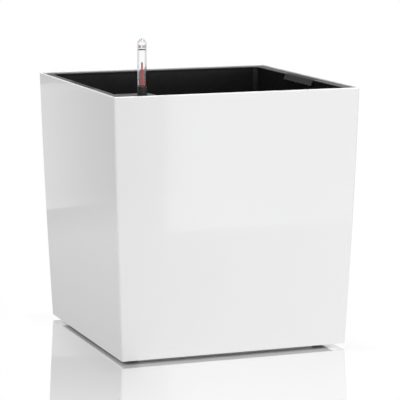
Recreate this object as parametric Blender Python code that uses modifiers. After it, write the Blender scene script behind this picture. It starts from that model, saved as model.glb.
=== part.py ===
"""Self-watering cube planter, modelled in metres with +Z up.

The origin is the centre of the base, at floor level. The front face looks along -Y.
A glossy outer planter holds a lift-out liner. The liner carries a slotted separator with four
soak baskets, a water supply shaft with a flip-up filler lid in its front left corner, two
retractable handles and a water level indicator whose float rides in a guide tube.
"""

import math

import bmesh
import bpy
from mathutils import Matrix

# Outer planter.
RIM_WIDTH = 0.390
RIM_TOP = 0.402
SHELL_BOTTOM = 0.0052
WALL_TAPER = 0.0090
WALL_BULGE = 0.0048
WALL = 0.0034
FLOOR_TOP = 0.0088
PLINTH_RECESS = 0.038
PLINTH_WIDTH = 0.010
CORNER_RADIUS = 0.003
EDGE_FILLET = 0.0014
LIP = 0.0026
COLLAR_INSET = 0.0056
COLLAR_DEPTH = 0.008

# Fits, and the sizes shared by small details.
GAP = 0.0003
RUNNING_GAP = 0.0004
SHARP_CORNER = 0.001
SMALL_CHAMFER = 0.0005
OVERLAP = 0.001
REACH = 0.010

# Liner.
FLANGE_DROP = 0.0016
FLANGE_TOP = RIM_TOP - FLANGE_DROP
FLANGE_THICKNESS = 0.0026
FLANGE_BOTTOM = FLANGE_TOP - FLANGE_THICKNESS
FLANGE_OUTER = RIM_WIDTH / 2 - LIP - RUNNING_GAP
FLANGE_INNER = 0.1775
FLANGE_CORNER = 0.0015
FLANGE_EDGE = 0.0008
LINER_WALL = 0.0026
LINER_STEP = 0.0008
LINER_FLOOR = 0.0810
LINER_FLOOR_HALF = 0.1680
LINER_CORNER = 0.009
LINER_LEDGE_HALF = 0.150

# Separator and soak baskets.
SEPARATOR_HALF = 0.1655
SEPARATOR_THICKNESS = 0.0025
SEPARATOR_BOTTOM = LINER_FLOOR + LINER_WALL + GAP
SEPARATOR_SLOTS = 7
SEPARATOR_SLOT_PITCH = 0.012
SEPARATOR_SLOT_LENGTH = 0.064
SLOT_WIDTH = 0.0036
BASKET_SPACING = 0.150
BASKET_RADIUS = 0.0290
BASKET_FOOT_RADIUS = 0.0245
BASKET_RIM = 0.0340
BASKET_WALL = 0.0020
BASKET_BOTTOM = 0.0130
BASKET_SLOT_PITCH = 0.010
BASKET_SLOT_LENGTH = 0.030

# Water supply shaft in the front left corner, and its cover.
POCKET_X = -0.1258
POCKET_Y = -0.1438
SHAFT_OUTER = 0.1766
SHAFT_WALL = 0.0016
SHAFT_BOTTOM = 0.0160
SHAFT_TOP = FLANGE_BOTTOM - GAP
COVER_CORNER = 0.012
SKIRT_DEPTH = 0.0070
SKIRT_WALL = 0.0014
LID_LEFT = -0.1728
LID_RIGHT = -0.1530
LID_FRONT = -0.1728
LID_THICKNESS = 0.0020
KNUCKLE_RADIUS = 0.0022
PIN_RADIUS = 0.0009
LID_AXIS_Y = -0.1490
LID_AXIS_Z = FLANGE_TOP - KNUCKLE_RADIUS

# Water level indicator.
GAUGE_X = -0.1430
GAUGE_Y = -0.1675
TUBE_RADIUS = 0.0070
TUBE_WALL = 0.0014
TUBE_BOTTOM = 0.0200
SOCKET_HEIGHT = 0.0125
TUBE_TOP = FLANGE_TOP + SOCKET_HEIGHT
SIGHT_RADIUS = 0.00685
SIGHT_WALL = 0.0012
SIGHT_SPIGOT = 0.0080
SIGHT_SPIGOT_WALL = 0.0010
SIGHT_TOP = FLANGE_TOP + 0.0832
BUSH_RADIUS = 0.0084
BUSH_RISE = 0.0006
CAP_HEIGHT = 0.0055
CAP_SPIGOT = 0.0040
CAP_INLET = 0.0030
FLOAT_RADIUS = 0.0048
FLOAT_BOTTOM = 0.0580
FLOAT_LENGTH = 0.0600
STEM_RADIUS = 0.0016
MARKER_RADIUS = 0.0032
MARKER_LENGTH = 0.0600
MARKER_TOP = FLANGE_TOP + 0.0380
TIP_RADIUS = 0.0013
TIP_TOP = FLANGE_TOP + 0.0484

# Retractable handles.
GRIP_LENGTH = 0.1120
GRIP_OUTER = 0.1876
GRIP_THICKNESS = 0.0030
GRIP_LIP_DEPTH = 0.0090
GRIP_LIP_SLOPE = 0.0040
GRIP_LIP_THICKNESS = 0.0024
NOTCH_CLEARANCE = 0.0024
NOTCH_REACH = 0.0100
LEG_INNER = 0.1826
LEG_THICKNESS = 0.0030
LEG_WIDTH = 0.0140
LEG_SPACING = 0.0880
LEG_BOTTOM = 0.2920
GUIDE_BOTTOM = 0.3720
GUIDE_TOP = 0.3860
GUIDE_OUTER = 0.1876
GUIDE_CHEEK = 0.0030
GUIDE_ROOF = 0.0020
CLIP_HEIGHT = 0.0060
CLIP_SIDE = 0.0012

# Drain plug in the middle of the floor.
DRAIN_RADIUS = 0.0095
BOSS_RADIUS = 0.0150
BOSS_TOP = 0.0138
SEAL_THICKNESS = 0.0012
PLUG_HEAD_RADIUS = 0.0140
PLUG_HEAD_THICKNESS = 0.0030
PLUG_GRIP_HEIGHT = 0.0080
PLUG_GRIP_WIDTH = 0.0050
PLUG_GRIP_INSET = 0.0030
PLUG_END_GAP = 0.0010

# Mesh fineness.
CORNER_STEPS = 5
FILLET_STEPS = 3
WALL_STEPS = 20
INNER_WALL_STEPS = 5
DOME_STEPS = 6
THIN_STEPS = 12
ROD_STEPS = 16
ROUND_STEPS = 24
SEAT_STEPS = 32
SMOOTH_ANGLE = math.radians(35)

WHITE = (0.86, 0.86, 0.87)
BLACK = (0.012, 0.012, 0.013)
RED = (0.55, 0.02, 0.03)
RUBBER = (0.02, 0.02, 0.02)
CLEAR = (0.90, 0.93, 0.94)
STEEL = (0.60, 0.60, 0.60)


def clear_scene():
    for obj in list(bpy.data.objects):
        bpy.data.objects.remove(obj, do_unlink=True)


def collection(name):
    made = bpy.data.collections.new(name)
    bpy.context.scene.collection.children.link(made)
    return made


def material(name, colour, roughness, metallic=0.0, transmission=0.0):
    made = bpy.data.materials.new(name)
    made.use_nodes = True
    shader = made.node_tree.nodes["Principled BSDF"]
    shader.inputs["Base Color"].default_value = (*colour, 1.0)
    shader.inputs["Roughness"].default_value = roughness
    shader.inputs["Metallic"].default_value = metallic
    shader.inputs["Transmission Weight"].default_value = transmission
    return made


def smooth(mesh):
    mesh.shade_smooth()
    mesh.set_sharp_from_angle(angle=SMOOTH_ANGLE)


def add_object(name, mesh, group, location=(0, 0, 0)):
    obj = bpy.data.objects.new(name, mesh)
    obj.location = location
    group.objects.link(obj)
    return obj


def as_cutter(obj):
    obj.hide_render = True
    obj.display_type = "WIRE"
    return obj


def box(name, group, low, high):
    """A box between two corners, made from a unit cube."""
    mesh = bpy.data.meshes.new(name)
    bm = bmesh.new()
    bmesh.ops.create_cube(bm, size=1.0)
    for vertex in bm.verts:
        for axis in range(3):
            middle = (low[axis] + high[axis]) / 2
            vertex.co[axis] = middle + vertex.co[axis] * (high[axis] - low[axis])
    bm.to_mesh(mesh)
    bm.free()
    return add_object(name, mesh, group)


def cylinder(name, group, radius, low, high, centre=(0, 0), steps=ROUND_STEPS):
    """An upright cylinder between two heights."""
    mesh = bpy.data.meshes.new(name)
    bm = bmesh.new()
    bmesh.ops.create_cone(
        bm, cap_ends=True, segments=steps, radius1=radius, radius2=radius, depth=high - low
    )
    bmesh.ops.translate(bm, verts=bm.verts, vec=(centre[0], centre[1], (low + high) / 2))
    bm.to_mesh(mesh)
    bm.free()
    smooth(mesh)
    return add_object(name, mesh, group)


def rounded_rectangle(low, high, radii, z):
    """Points round a rectangle, anticlockwise from its front right corner, with arc corners."""
    corners = ((1, 0, 1, -1), (1, 1, 1, 1), (0, 1, -1, 1), (0, 0, -1, -1))
    points = []
    for quarter, ((pick_x, pick_y, sign_x, sign_y), radius) in enumerate(zip(corners, radii)):
        centre_x = (low[0], high[0])[pick_x] - sign_x * radius
        centre_y = (low[1], high[1])[pick_y] - sign_y * radius
        for step in range(CORNER_STEPS + 1):
            angle = math.pi / 2 * (quarter - 1 + step / CORNER_STEPS)
            x = centre_x + radius * math.cos(angle)
            y = centre_y + radius * math.sin(angle)
            points.append((x, y, z))
    return points


def square(half, radius, z):
    return rounded_rectangle((-half, -half), (half, half), [radius] * 4, z)


def loft(name, group, rings, closed=False):
    """A solid through rings of points, with its ends filled, or joined to each other if closed."""
    mesh = bpy.data.meshes.new(name)
    bm = bmesh.new()
    loops = [[bm.verts.new(point) for point in ring] for ring in rings]
    pairs = list(zip(loops, loops[1:]))
    if closed:
        pairs.append((loops[-1], loops[0]))
    else:
        bm.faces.new(reversed(loops[0]))
        bm.faces.new(loops[-1])
    for first, second in pairs:
        count = len(first)
        for i in range(count):
            j = (i + 1) % count
            bm.faces.new((first[i], first[j], second[j], second[i]))
    bm.to_mesh(mesh)
    bm.free()
    smooth(mesh)
    return add_object(name, mesh, group)


def extruded(name, group, outline, y_low, y_high):
    """A bar along Y whose section is an outline of (x, z) points, anticlockwise seen from -Y."""
    front = [(x, y_low, z) for x, z in outline]
    back = [(x, y_high, z) for x, z in outline]
    return loft(name, group, [back, front])


def turned(name, group, profile, centre=(0, 0), steps=ROUND_STEPS):
    """A round solid about Z. Its (radius, z) points run down the outer side and up the inner."""
    mesh = bpy.data.meshes.new(name)
    count = len(profile)
    edges = [(i, (i + 1) % count) for i in range(count)]
    off_axis = [pair for pair in edges if any(profile[i][0] > 0 for i in pair)]
    mesh.from_pydata([(radius, 0, z) for radius, z in profile], off_axis, [])
    obj = add_object(name, mesh, group, (*centre, 0))
    screw = obj.modifiers.new("turn", "SCREW")
    screw.steps = steps
    screw.render_steps = steps
    screw.use_merge_vertices = True
    screw.merge_threshold = 0.0001
    return obj


def boolean(obj, other, operation):
    modifier = obj.modifiers.new(f"{operation.lower()} {other.name}", "BOOLEAN")
    modifier.operation = operation
    modifier.object = other
    as_cutter(other)


def cut(obj, *cutters):
    for cutter in cutters:
        boolean(obj, cutter, "DIFFERENCE")


def join(obj, *others):
    for other in others:
        boolean(obj, other, "UNION")


def paint(obj, *settings):
    obj.data.materials.clear()
    obj.data.materials.append(material(obj.name, *settings))


def shell_half(z):
    """Outer half width of the planter at a height: its walls lean in and bulge slightly."""
    depth = (RIM_TOP - z) / (RIM_TOP - SHELL_BOTTOM)
    return RIM_WIDTH / 2 - WALL_TAPER * depth - WALL_BULGE * depth**2


def heights(low, high, steps):
    return [low + (high - low) * step / steps for step in range(steps + 1)]


def outer_planter(parts, tools):
    """Leaning square walls on a recessed plinth, with a stepped rim for the liner's flange."""
    plinth_outer = shell_half(SHELL_BOTTOM) - PLINTH_RECESS
    plinth_inner = plinth_outer - PLINTH_WIDTH
    bottom_half = shell_half(SHELL_BOTTOM)
    ledge = FLANGE_BOTTOM - GAP
    collar_half = RIM_WIDTH / 2 - COLLAR_INSET
    lip_inner = RIM_WIDTH / 2 - LIP
    rings = [
        square(plinth_inner, SHARP_CORNER, SHELL_BOTTOM),
        square(plinth_inner, SHARP_CORNER, 0),
        square(plinth_outer, CORNER_RADIUS, 0),
        square(plinth_outer, CORNER_RADIUS, SHELL_BOTTOM),
        square(bottom_half - EDGE_FILLET / 2, CORNER_RADIUS, SHELL_BOTTOM),
    ]
    for z in heights(SHELL_BOTTOM + EDGE_FILLET / 2, RIM_TOP - EDGE_FILLET, WALL_STEPS):
        rings.append(square(shell_half(z), CORNER_RADIUS, z))
    for step in range(1, FILLET_STEPS + 1):
        angle = math.pi / 2 * step / FILLET_STEPS
        inset = EDGE_FILLET * (1 - math.cos(angle))
        rise = EDGE_FILLET * math.sin(angle)
        half = RIM_WIDTH / 2 - inset
        rings.append(square(half, CORNER_RADIUS - inset, RIM_TOP - EDGE_FILLET + rise))
    rings.append(square(lip_inner, SHARP_CORNER, RIM_TOP))
    rings.append(square(lip_inner, SHARP_CORNER, ledge))
    rings.append(square(collar_half, SHARP_CORNER, ledge))
    rings.append(square(collar_half, SHARP_CORNER, ledge - COLLAR_DEPTH))
    for z in reversed(heights(FLOOR_TOP, ledge - 2 * COLLAR_DEPTH, INNER_WALL_STEPS)):
        rings.append(square(shell_half(z) - WALL, SHARP_CORNER, z))
    planter = loft("outer_planter", parts, rings)
    join(planter, cylinder("drain_boss", tools, BOSS_RADIUS, SHELL_BOTTOM + OVERLAP, BOSS_TOP))
    cut(planter, cylinder("drain_hole", tools, DRAIN_RADIUS, -REACH, BOSS_TOP + REACH))
    paint(planter, WHITE, 0.12)


def liner_inner_half(z):
    share = (z - LINER_FLOOR) / (FLANGE_BOTTOM - LINER_FLOOR)
    return LINER_FLOOR_HALF + share * (FLANGE_INNER + LINER_STEP - LINER_FLOOR_HALF)


def planter_liner(parts, tools):
    """Flanged liner: tapering walls, a floor ledge, and a corner pocket for the supply shaft."""
    step_z = FLANGE_BOTTOM - LINER_STEP / 2
    edge_half = FLANGE_INNER + FLANGE_EDGE
    edge_z = FLANGE_TOP - FLANGE_EDGE
    floor_outer = LINER_FLOOR_HALF + LINER_WALL
    top_outer = FLANGE_INNER + LINER_STEP + LINER_WALL
    rings = [
        square(LINER_LEDGE_HALF, LINER_CORNER, LINER_FLOOR),
        square(floor_outer, LINER_CORNER, LINER_FLOOR),
        square(top_outer, LINER_CORNER, FLANGE_BOTTOM),
        square(FLANGE_OUTER, FLANGE_CORNER, FLANGE_BOTTOM),
        square(FLANGE_OUTER, FLANGE_CORNER, FLANGE_TOP),
    ]
    for step in range(FILLET_STEPS + 1):
        angle = math.pi / 2 * step / FILLET_STEPS
        half = edge_half - FLANGE_EDGE * math.sin(angle)
        rings.append(square(half, LINER_CORNER, edge_z + FLANGE_EDGE * math.cos(angle)))
    rings += [
        square(FLANGE_INNER, LINER_CORNER, step_z),
        square(FLANGE_INNER + LINER_STEP, LINER_CORNER, step_z - LINER_STEP / 2),
        square(LINER_FLOOR_HALF, LINER_CORNER, LINER_FLOOR + LINER_WALL),
        square(LINER_LEDGE_HALF, LINER_CORNER, LINER_FLOOR + LINER_WALL),
    ]
    liner = loft("planter_liner", parts, rings, closed=True)
    join(liner, pocket_column(tools))
    cut(liner, *pocket_cutters(tools))
    for side in (-1, 1):
        cut(liner, handle_notch(tools, side))
        for end in (-1, 1):
            guide, slot = handle_guide(tools, side, end)
            join(liner, guide)
            cut(liner, slot)
    paint(liner, BLACK, 0.38)


def corner_block(name, group, low, high, radius, z_low, z_high):
    """An upright block whose back right edge is rounded, as the corner cover's is."""
    radii = (SHARP_CORNER, radius, SHARP_CORNER, SHARP_CORNER)
    return loft(name, group, [rounded_rectangle(low, high, radii, z) for z in (z_low, z_high)])


def pocket_column(tools):
    """Block that the pocket is cut from, so that its two walls stay."""
    low = [-liner_inner_half(LINER_FLOOR) - LINER_WALL / 2] * 2
    high = (POCKET_X + LINER_WALL, POCKET_Y + LINER_WALL)
    top = FLANGE_BOTTOM - GAP
    return corner_block("pocket_column", tools, low, high, COVER_CORNER, LINER_FLOOR, top)


def pocket_cutters(tools):
    """Take away the liner's front left corner under its flange, and open the flange above it."""
    low = (-RIM_WIDTH / 2, -RIM_WIDTH / 2)
    high = (POCKET_X, POCKET_Y)
    inner_corner = COVER_CORNER - LINER_WALL
    z_low = LINER_FLOOR - REACH
    z_high = FLANGE_BOTTOM - GAP / 10
    pocket = corner_block("pocket", tools, low, high, inner_corner, z_low, z_high)
    opening_low = (-FLANGE_INNER, -FLANGE_INNER, FLANGE_BOTTOM - GAP)
    opening_high = (POCKET_X + LINER_WALL, POCKET_Y + LINER_WALL, RIM_TOP)
    return pocket, box("cover_opening", tools, opening_low, opening_high)


def handle_notch(tools, side):
    """Lets a grip sink flush into the flange and the top of the wall."""
    half = GRIP_LENGTH / 2 + RUNNING_GAP
    inner = side * (FLANGE_INNER - NOTCH_REACH)
    outer = side * (GRIP_OUTER + RUNNING_GAP)
    low = (min(inner, outer), -half, FLANGE_TOP - GRIP_LIP_DEPTH - NOTCH_CLEARANCE)
    high = (max(inner, outer), half, RIM_TOP)
    return box(f"handle_notch_{side}", tools, low, high)


def handle_guide(tools, side, end):
    """A block outside the liner's wall, and the slot that a handle's leg slides in."""
    middle = end * LEG_SPACING / 2
    half = LEG_WIDTH / 2 + RUNNING_GAP
    wall = side * (liner_inner_half(GUIDE_BOTTOM) + LINER_WALL / 2)
    outer = side * GUIDE_OUTER
    guide = box(
        f"handle_guide_{side}_{end}",
        tools,
        (min(wall, outer), middle - half - GUIDE_CHEEK, GUIDE_BOTTOM),
        (max(wall, outer), middle + half + GUIDE_CHEEK, GUIDE_TOP),
    )
    near = side * (LEG_INNER - RUNNING_GAP)
    far = side * (LEG_INNER + LEG_THICKNESS + RUNNING_GAP)
    slot = box(
        f"handle_slot_{side}_{end}",
        tools,
        (min(near, far), middle - half, GUIDE_BOTTOM - REACH),
        (max(near, far), middle + half, FLANGE_BOTTOM - GUIDE_ROOF),
    )
    return guide, slot


def separator_plate(parts, tools):
    """False floor of the soil space, slotted, with a round seat for each soak basket."""
    top = SEPARATOR_BOTTOM + SEPARATOR_THICKNESS
    rings = [square(SEPARATOR_HALF, LINER_CORNER, z) for z in (SEPARATOR_BOTTOM, top)]
    plate = loft("separator_plate", parts, rings)
    corner = box(
        "separator_corner",
        tools,
        (-RIM_WIDTH / 2, -RIM_WIDTH / 2, SEPARATOR_BOTTOM - REACH),
        (POCKET_X + LINER_WALL + OVERLAP, POCKET_Y + LINER_WALL + OVERLAP, top + REACH),
    )
    cut(plate, corner)
    for index, (x, y) in enumerate(basket_centres()):
        seat = cylinder(
            f"basket_seat_{index}",
            tools,
            BASKET_RADIUS + RUNNING_GAP,
            SEPARATOR_BOTTOM - REACH,
            top + REACH,
            (x, y),
            SEAT_STEPS,
        )
        cut(plate, seat)
    length = SEPARATOR_SLOT_LENGTH / 2
    for row in range(SEPARATOR_SLOTS):
        y = (row - (SEPARATOR_SLOTS - 1) / 2) * SEPARATOR_SLOT_PITCH
        slot = box(
            f"separator_slot_{row}",
            tools,
            (-length, y - SLOT_WIDTH / 2, SEPARATOR_BOTTOM - REACH),
            (length, y + SLOT_WIDTH / 2, top + REACH),
        )
        cut(plate, slot)
    paint(plate, BLACK, 0.45)


def basket_centres():
    half = BASKET_SPACING / 2
    return [(x, y) for y in (-half, half) for x in (-half, half)]


def soak_baskets(parts, tools):
    """Four open cups that hang from the separator into the water, with slotted bottoms."""
    seat = SEPARATOR_BOTTOM + SEPARATOR_THICKNESS + GAP
    rim_top = seat + BASKET_WALL
    profile = [
        (BASKET_RIM, rim_top),
        (BASKET_RIM, seat),
        (BASKET_RADIUS - GAP, seat),
        (BASKET_FOOT_RADIUS, BASKET_BOTTOM),
        (0, BASKET_BOTTOM),
        (0, BASKET_BOTTOM + BASKET_WALL),
        (BASKET_FOOT_RADIUS - BASKET_WALL, BASKET_BOTTOM + BASKET_WALL),
        (BASKET_RADIUS - GAP - BASKET_WALL, rim_top),
    ]
    model = as_cutter(turned("soak_basket_model", tools, profile, steps=ROD_STEPS))
    length = BASKET_SLOT_LENGTH / 2
    for row in (-1, 0, 1):
        y = row * BASKET_SLOT_PITCH
        slot = box(
            f"basket_slot_{row}",
            tools,
            (-length, y - SLOT_WIDTH / 2, BASKET_BOTTOM - REACH),
            (length, y + SLOT_WIDTH / 2, BASKET_BOTTOM + BASKET_WALL + OVERLAP),
        )
        cut(model, slot)
    graph = bpy.context.evaluated_depsgraph_get()
    mesh = bpy.data.meshes.new_from_object(model.evaluated_get(graph))
    smooth(mesh)
    for index, (x, y) in enumerate(basket_centres(), 1):
        basket = add_object(f"soak_basket_{index}", mesh, parts, (x, y, 0))
        if index == 1:
            paint(basket, BLACK, 0.45)


def water_supply_shaft(parts, tools):
    """Square pipe that takes water past the soil to the reservoir."""
    low = (-SHAFT_OUTER, -SHAFT_OUTER)
    high = (POCKET_X - 2 * GAP, POCKET_Y - 2 * GAP)
    outer_corner = COVER_CORNER - LINER_WALL
    shaft = corner_block(
        "water_supply_shaft", parts, low, high, outer_corner, SHAFT_BOTTOM, SHAFT_TOP
    )
    bore_low = [edge + SHAFT_WALL for edge in low]
    bore_high = [edge - SHAFT_WALL for edge in high]
    z_low = SHAFT_BOTTOM - REACH
    z_high = SHAFT_TOP + REACH
    bore_corner = outer_corner - SHAFT_WALL
    bore = corner_block("shaft_bore", tools, bore_low, bore_high, bore_corner, z_low, z_high)
    cut(shaft, bore)
    paint(shaft, BLACK, 0.45)


def cover_skirt(tools):
    """Collar under the cover that locates it in the shaft, with a web beside the lid."""
    low = [-SHAFT_OUTER + SHAFT_WALL + RUNNING_GAP] * 2
    high = [edge - 2 * GAP - SHAFT_WALL - RUNNING_GAP for edge in (POCKET_X, POCKET_Y)]
    z_low = FLANGE_BOTTOM - SKIRT_DEPTH
    z_high = FLANGE_BOTTOM + OVERLAP
    radius = COVER_CORNER - LINER_WALL - SHAFT_WALL - RUNNING_GAP
    skirt = corner_block("cover_skirt", tools, low, high, radius, z_low, z_high)
    inner_low = [edge + SKIRT_WALL for edge in low]
    inner_high = [edge - SKIRT_WALL for edge in high]
    inner_radius = radius - SKIRT_WALL
    hollow_low = z_low - REACH
    hollow_high = z_high + REACH
    cut(
        skirt,
        corner_block(
            "skirt_hollow", tools, inner_low, inner_high, inner_radius, hollow_low, hollow_high
        ),
    )
    web_low = (LID_RIGHT + RUNNING_GAP, low[1] + SKIRT_WALL / 2, z_low)
    web_high = (LID_RIGHT + RUNNING_GAP + SKIRT_WALL, high[1] - SKIRT_WALL / 2, z_high)
    join(skirt, box("cover_web", tools, web_low, web_high))
    return skirt


def along_x(name, group, radius, x_low, x_high, steps=ROD_STEPS):
    """A cylinder along X through the lid's hinge axis."""
    made = cylinder(name, group, radius, x_low, x_high, steps=steps)
    turn = Matrix.Rotation(math.pi / 2, 4, "Y")
    made.data.transform(Matrix.Translation((0, LID_AXIS_Y, LID_AXIS_Z)) @ turn)
    return made


def shaft_cover(parts, tools):
    """Corner plate, flush with the flange, that holds the filler lid and the indicator."""
    low = [-FLANGE_INNER + GAP] * 2
    high = (POCKET_X + LINER_WALL, POCKET_Y + LINER_WALL)
    cover = corner_block(
        "shaft_cover", parts, low, high, COVER_CORNER, FLANGE_BOTTOM, FLANGE_TOP
    )
    join(cover, cover_skirt(tools))
    opening_low = (LID_LEFT - GAP, LID_FRONT - GAP, FLANGE_BOTTOM - SKIRT_DEPTH - REACH)
    opening_high = (LID_RIGHT + GAP, LID_AXIS_Y + KNUCKLE_RADIUS + GAP, RIM_TOP)
    cut(cover, box("lid_opening", tools, opening_low, opening_high))
    z_low = FLANGE_BOTTOM - SKIRT_DEPTH - REACH
    hole = cylinder(
        "gauge_hole", tools, BUSH_RADIUS + GAP, z_low, RIM_TOP, (GAUGE_X, GAUGE_Y)
    )
    cut(cover, hole, along_x("pin_hole", tools, PIN_RADIUS + GAP, *pin_ends(GAP)))
    paint(cover, BLACK, 0.38)


def pin_ends(extra=0.0):
    """The hinge pin's ends, each let into the cover beside the lid."""
    return LID_LEFT - SKIRT_WALL - extra, LID_RIGHT + RUNNING_GAP + SKIRT_WALL + extra


def filler_lid(parts, tools):
    """Flip-up lid over the filling hole, round along its hinge edge."""
    lid = box(
        "filler_lid",
        parts,
        (LID_LEFT, LID_FRONT, FLANGE_TOP - LID_THICKNESS),
        (LID_RIGHT, LID_AXIS_Y, FLANGE_TOP),
    )
    knuckle = along_x("lid_knuckle", tools, KNUCKLE_RADIUS, LID_LEFT, LID_RIGHT, ROUND_STEPS)
    join(lid, knuckle)
    bore_ends = (LID_LEFT - REACH, LID_RIGHT + REACH)
    cut(lid, along_x("lid_bore", tools, PIN_RADIUS + GAP, *bore_ends))
    centre_on(lid, (0, LID_AXIS_Y, LID_AXIS_Z))
    paint(lid, BLACK, 0.38)
    pin = along_x("lid_pin", parts, PIN_RADIUS, *pin_ends(), steps=THIN_STEPS)
    centre_on(pin, (0, LID_AXIS_Y, LID_AXIS_Z))
    paint(pin, STEEL, 0.3, 1.0)


def centre_on(obj, point):
    """Moves an object's origin to a point without moving its shape."""
    obj.data.transform(Matrix.Translation([-value for value in point]))
    obj.location = point


def water_indicator(parts):
    """Black guide tube with a clear sight tube on top, a rubber bush and a slotted end cap."""
    axis = (GAUGE_X, GAUGE_Y)
    bore = TUBE_RADIUS - TUBE_WALL
    profile = [
        (TUBE_RADIUS, TUBE_TOP),
        (TUBE_RADIUS, TUBE_BOTTOM),
        (bore, TUBE_BOTTOM),
        (bore, TUBE_TOP),
    ]
    paint(turned("guide_tube", parts, profile, axis), BLACK, 0.35)
    cap_top = TUBE_BOTTOM - GAP
    cap_bottom = cap_top - CAP_HEIGHT
    profile = [
        (bore - GAP, cap_top + CAP_SPIGOT),
        (bore - GAP, cap_top),
        (TUBE_RADIUS, cap_top),
        (TUBE_RADIUS, cap_bottom + 2 * SMALL_CHAMFER),
        (TUBE_RADIUS - 2 * SMALL_CHAMFER, cap_bottom),
        (CAP_INLET, cap_bottom),
        (CAP_INLET, cap_top + CAP_SPIGOT),
    ]
    paint(turned("guide_tube_end_cap", parts, profile, axis), BLACK, 0.45)
    bush_top = FLANGE_TOP + BUSH_RISE
    profile = [
        (BUSH_RADIUS - SMALL_CHAMFER, bush_top),
        (BUSH_RADIUS, bush_top - SMALL_CHAMFER),
        (BUSH_RADIUS, FLANGE_BOTTOM),
        (TUBE_RADIUS + GAP, FLANGE_BOTTOM),
        (TUBE_RADIUS + GAP, bush_top),
    ]
    paint(turned("indicator_bush", parts, profile, axis), RUBBER, 0.7)
    paint(turned("sight_tube", parts, sight_tube_profile(), axis), CLEAR, 0.03, 0.0, 1.0)


def dome(radius, z_top):
    """Points down a quarter circle, from the axis to the radius."""
    turns = [math.pi / 2 * step / DOME_STEPS for step in range(DOME_STEPS + 1)]
    return [(radius * math.sin(a), z_top - radius * (1 - math.cos(a))) for a in turns]


def sight_tube_profile():
    base = TUBE_TOP + GAP
    spigot = TUBE_RADIUS - TUBE_WALL - GAP
    inner = SIGHT_RADIUS - SIGHT_WALL
    spigot_inner = spigot - SIGHT_SPIGOT_WALL
    outside = dome(SIGHT_RADIUS, SIGHT_TOP)
    inside = dome(inner, SIGHT_TOP - SIGHT_WALL)
    foot = [
        (SIGHT_RADIUS, base),
        (spigot, base),
        (spigot, base - SIGHT_SPIGOT),
        (spigot_inner, base - SIGHT_SPIGOT),
        (spigot_inner, base + SIGHT_SPIGOT_WALL),
        (inner, base + 2 * SIGHT_SPIGOT_WALL),
    ]
    return outside + foot + inside[::-1]


def float_parts(parts):
    """Float, stem, red marker and pointer tip, one above the other in the guide tube."""
    axis = (GAUGE_X, GAUGE_Y)
    float_top = FLOAT_BOTTOM + FLOAT_LENGTH
    marker_bottom = MARKER_TOP - MARKER_LENGTH
    pieces = (
        ("float_body", FLOAT_RADIUS, FLOAT_BOTTOM, float_top, WHITE, 0.6),
        ("float_stem", STEM_RADIUS, float_top + GAP, marker_bottom - GAP, BLACK, 0.4),
        ("level_marker", MARKER_RADIUS, marker_bottom, MARKER_TOP, RED, 0.35),
        ("marker_tip", TIP_RADIUS, MARKER_TOP + GAP, TIP_TOP, RED, 0.35),
    )
    for name, radius, low, high, colour, roughness in pieces:
        chamfer = radius / 4
        profile = [
            (0, high),
            (radius - chamfer, high),
            (radius, high - chamfer),
            (radius, low + chamfer),
            (radius - chamfer, low),
            (0, low),
        ]
        paint(turned(name, parts, profile, axis, ROD_STEPS), colour, roughness)


def grip_outline(side):
    """Section of a grip: a flat top bar with a finger lip that slopes into the soil space."""
    inner = FLANGE_INNER + GAP
    lip_z = FLANGE_TOP - GRIP_LIP_DEPTH
    bar_z = FLANGE_TOP - GRIP_THICKNESS
    outline = [
        (GRIP_OUTER, bar_z),
        (GRIP_OUTER, FLANGE_TOP),
        (inner, FLANGE_TOP),
        (inner - GRIP_LIP_SLOPE, lip_z),
        (inner - GRIP_LIP_SLOPE + GRIP_LIP_THICKNESS, lip_z),
        (inner + GRIP_LIP_THICKNESS, bar_z),
    ]
    if side > 0:
        return outline
    return [(-x, z) for x, z in reversed(outline)]


def handles(parts, tools):
    """Two grips whose legs slide in the liner's guides, each leg ended by a stop clip."""
    leg_half = LEG_WIDTH / 2
    for side, side_name in ((-1, "left"), (1, "right")):
        outline = grip_outline(side)
        half = GRIP_LENGTH / 2
        handle = extruded(f"handle_{side_name}", parts, outline, -half, half)
        near = side * LEG_INNER
        far = side * (LEG_INNER + LEG_THICKNESS)
        x_low = min(near, far)
        x_high = max(near, far)
        for end, end_name in ((-1, "front"), (1, "back")):
            middle = end * LEG_SPACING / 2
            low = (x_low, middle - leg_half, LEG_BOTTOM)
            high = (x_high, middle + leg_half, FLANGE_TOP - GRIP_THICKNESS / 3)
            join(handle, box(f"leg_{side_name}_{end_name}", tools, low, high))
            clip_low = (low[0] - CLIP_SIDE, low[1] - 2 * CLIP_SIDE, LEG_BOTTOM)
            clip_high = (high[0] + CLIP_SIDE, high[1] + 2 * CLIP_SIDE, LEG_BOTTOM + CLIP_HEIGHT)
            clip = box(f"handle_clip_{side_name}_{end_name}", parts, clip_low, clip_high)
            hole_low = (low[0] - GAP, low[1] - GAP, LEG_BOTTOM - REACH)
            hole_high = (high[0] + GAP, high[1] + GAP, LEG_BOTTOM + CLIP_HEIGHT + REACH)
            cut(clip, box(f"clip_hole_{side_name}_{end_name}", tools, hole_low, hole_high))
            paint(clip, BLACK, 0.45)
        paint(handle, BLACK, 0.35)


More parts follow.
